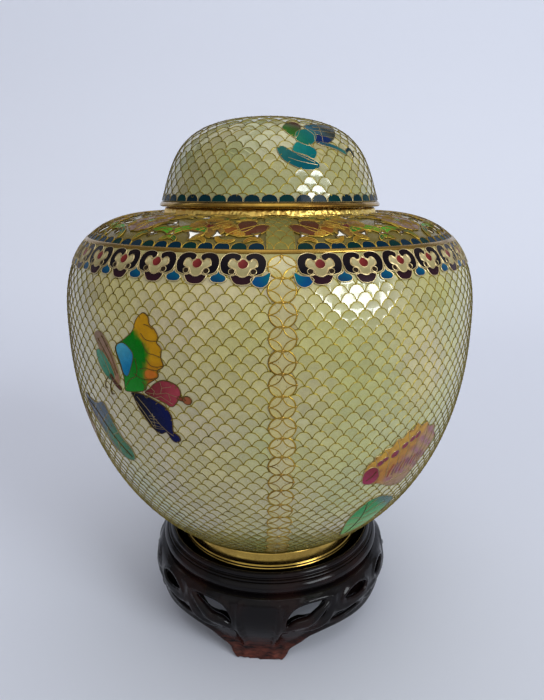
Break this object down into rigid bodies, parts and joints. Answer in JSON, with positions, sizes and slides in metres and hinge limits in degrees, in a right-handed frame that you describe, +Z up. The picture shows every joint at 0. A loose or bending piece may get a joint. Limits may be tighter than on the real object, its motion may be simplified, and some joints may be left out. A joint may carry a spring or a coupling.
{
  "type": "lidded ginger jar of openwork enamel on a carved stand",
  "caption": "Round-shouldered lidded jar of clear enamel in a net of gilt wire, pierced at the shoulder, standing on a carved and pierced wooden stand with three feet.",
  "frame": {"origin": "on the floor, midway between the three feet, under the jar's axis", "axes": "+Z up along the jar's axis, -Y the front with one foot nearly in front, +X to the right seen from the front"},
  "size_m": [0.1148, 0.1148, 0.1492],
  "materials": {
    "dark_wood": "very dark polished rosewood, reddish brown where it wears thin",
    "gilt": "polished gilt metal",
    "wire_enamel": "glossy pale translucent enamel held by fine gilt wires, with coloured cells"
  },
  "bodies": {
    "root": {"stand": "dark_wood", "foot_ring": "gilt", "jar_shell": "wire_enamel", "neck_collar": "gilt", "lid_rim": "gilt", "lid_dome": "wire_enamel"}
  },
  "joints": []
}
